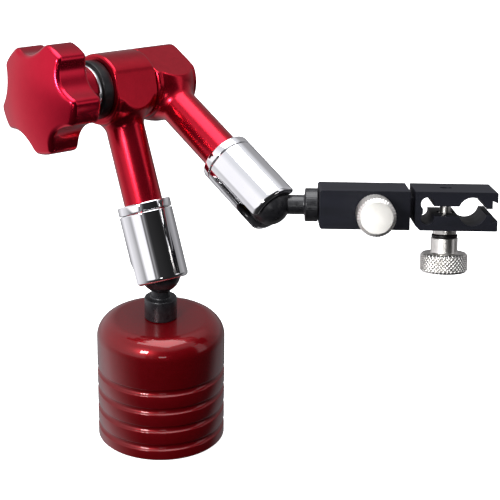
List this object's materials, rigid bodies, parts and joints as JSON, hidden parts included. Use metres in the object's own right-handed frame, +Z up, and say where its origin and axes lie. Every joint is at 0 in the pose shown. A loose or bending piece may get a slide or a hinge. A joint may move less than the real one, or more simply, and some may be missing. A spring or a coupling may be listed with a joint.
{
  "type": "magnetic base indicator holder",
  "caption": "Small round magnetic base with two jointed arms locked by one star knob, a fine-adjustment block and a split clamp for an indicator stem or dovetail.",
  "frame": {"origin": "centre of the base's bottom face, on the surface it stands on", "axes": "+Z up along the base, +X towards the clamp block, -Y towards the fine-adjustment screw"},
  "size_m": [0.1415, 0.0713, 0.1215],
  "materials": {
    "base_paint": "glossy dark red paint",
    "pole_steel": "ground steel",
    "magnet": "matt grey magnet",
    "spacer_brass": "turned brass",
    "black_stud": "polished black oxide",
    "seat_bronze": "turned bronze",
    "chrome": "mirror chrome plate",
    "red_anodised": "bright red anodising",
    "knob_red": "satin red anodising",
    "black_washer": "black plastic",
    "bright_steel": "turned steel",
    "block_black": "black anodising",
    "nickel": "bright nickel plate"
  },
  "bodies": {
    "base": {"base_shell": "base_paint", "base_pole": "pole_steel", "base_magnet": "magnet", "base_spacer_ring": "spacer_brass"},
    "lower_stud": {"lower_ball_stud": "black_stud"},
    "lower_seat": {"lower_ball_seat": "seat_bronze"},
    "lower_arm": {"lower_sleeve": "chrome", "lower_lock_ring": "chrome", "lower_arm_tube": "red_anodised", "lower_hub": "red_anodised", "thrust_ring": "black_washer"},
    "lower_rod": {"lower_push_rod": "bright_steel"},
    "tie_bolt": {"tie_bolt": "bright_steel"},
    "knob": {"star_knob": "knob_red", "knob_insert": "seat_bronze", "steel_washer": "bright_steel"},
    "upper_arm": {"upper_hub": "red_anodised", "upper_arm_tube": "red_anodised", "upper_sleeve": "chrome", "upper_lock_ring": "chrome", "upper_ball_seat": "seat_bronze"},
    "upper_rod": {"upper_push_rod": "bright_steel"},
    "upper_stud": {"upper_ball_stud": "black_stud"},
    "fine_block": {"fine_block": "block_black", "pivot_pin": "bright_steel", "return_spring": "bright_steel"},
    "fine_feed": {"fine_screw_ring": "black_washer"},
    "fine_screw": {"fine_screw": "nickel"},
    "clamp_block": {"clamp_block": "block_black", "clamp_bush": "nickel", "clamp_washer": "black_washer"},
    "clamp_screw": {"clamp_screw": "nickel"}
  },
  "joints": [
    {"name": "lower_swivel", "type": "hinge", "parent": "base", "child": "lower_stud", "pos_m": [0, 0, 0.038], "axis": [0, 0, 1], "continuous": true},
    {"name": "lower_tilt", "type": "hinge", "parent": "lower_stud", "child": "lower_seat", "pos_m": [0, 0, 0.0524], "axis": [-0.8329, -0.5534, 0], "range_deg": [-61, 7]},
    {"name": "lower_roll", "type": "hinge", "parent": "lower_seat", "child": "lower_arm", "pos_m": [0, 0, 0.0524], "axis": [-0.2521, 0.3794, 0.8902], "continuous": true},
    {"name": "hub_pivot", "type": "hinge", "parent": "lower_arm", "child": "upper_arm", "pos_m": [-0.0086, 0.02697, 0.10138], "axis": [0.6902, 0.7153, -0.1094], "range_deg": [-200, 36]},
    {"name": "upper_tilt", "type": "hinge", "parent": "upper_arm", "child": "upper_stud", "pos_m": [0.03136, -0.00424, 0.07629], "axis": [0, -0.5483, 0.8363], "range_deg": [-137, 33]},
    {"name": "upper_swivel", "type": "hinge", "parent": "upper_stud", "child": "fine_block", "pos_m": [0.03136, -0.00424, 0.07629], "axis": [1, 0, 0], "continuous": true},
    {"name": "knob_turn", "type": "hinge", "parent": "lower_arm", "child": "knob", "pos_m": [-0.0086, 0.02697, 0.10138], "axis": [-0.6902, -0.7153, 0.1094], "range_deg": [0, 540]},
    {"name": "tie_bolt_feed", "type": "slide", "parent": "lower_arm", "child": "tie_bolt", "axis": [0.6902, 0.7153, -0.1094], "range_m": [0, 0.00151]},
    {"name": "lower_rod_feed", "type": "slide", "parent": "lower_arm", "child": "lower_rod", "axis": [-0.2521, 0.3794, 0.8902], "range_m": [0, 0.00034]},
    {"name": "upper_rod_feed", "type": "slide", "parent": "upper_arm", "child": "upper_rod", "axis": [-0.6149, 0.6595, 0.4324], "range_m": [0, 0.00034]},
    {"name": "fine_feed", "type": "slide", "parent": "fine_block", "child": "fine_feed", "axis": [0, 0.9686, -0.2487], "range_m": [-0.00063, 0.00063]},
    {"name": "fine_turn", "type": "hinge", "parent": "fine_feed", "child": "fine_screw", "pos_m": [0.06076, -0.00436, 0.0758], "axis": [0, 0.9686, -0.2487], "range_deg": [-450, 450]},
    {"name": "fine_tilt", "type": "hinge", "parent": "fine_block", "child": "clamp_block", "pos_m": [0.06736, -0.00394, 0.07745], "axis": [0, 0.9686, -0.2487], "range_deg": [-1.4, 1.4]},
    {"name": "clamp_turn", "type": "hinge", "parent": "clamp_block", "child": "clamp_screw", "pos_m": [0.08176, -0.00424, 0.07629], "axis": [0, -0.2487, -0.9686], "range_deg": [0, 720]}
  ],
  "couplings": [
    {"joint": "tie_bolt_feed", "follows": "knob_turn", "m_per_rad": 0.00015915},
    {"joint": "lower_rod_feed", "follows": "knob_turn", "m_per_rad": 0.000035014},
    {"joint": "upper_rod_feed", "follows": "knob_turn", "m_per_rad": 0.000035014},
    {"joint": "fine_feed", "follows": "fine_turn", "m_per_rad": 0.000079577},
    {"joint": "fine_tilt", "follows": "fine_turn", "ratio": -0.0030143}
  ]
}
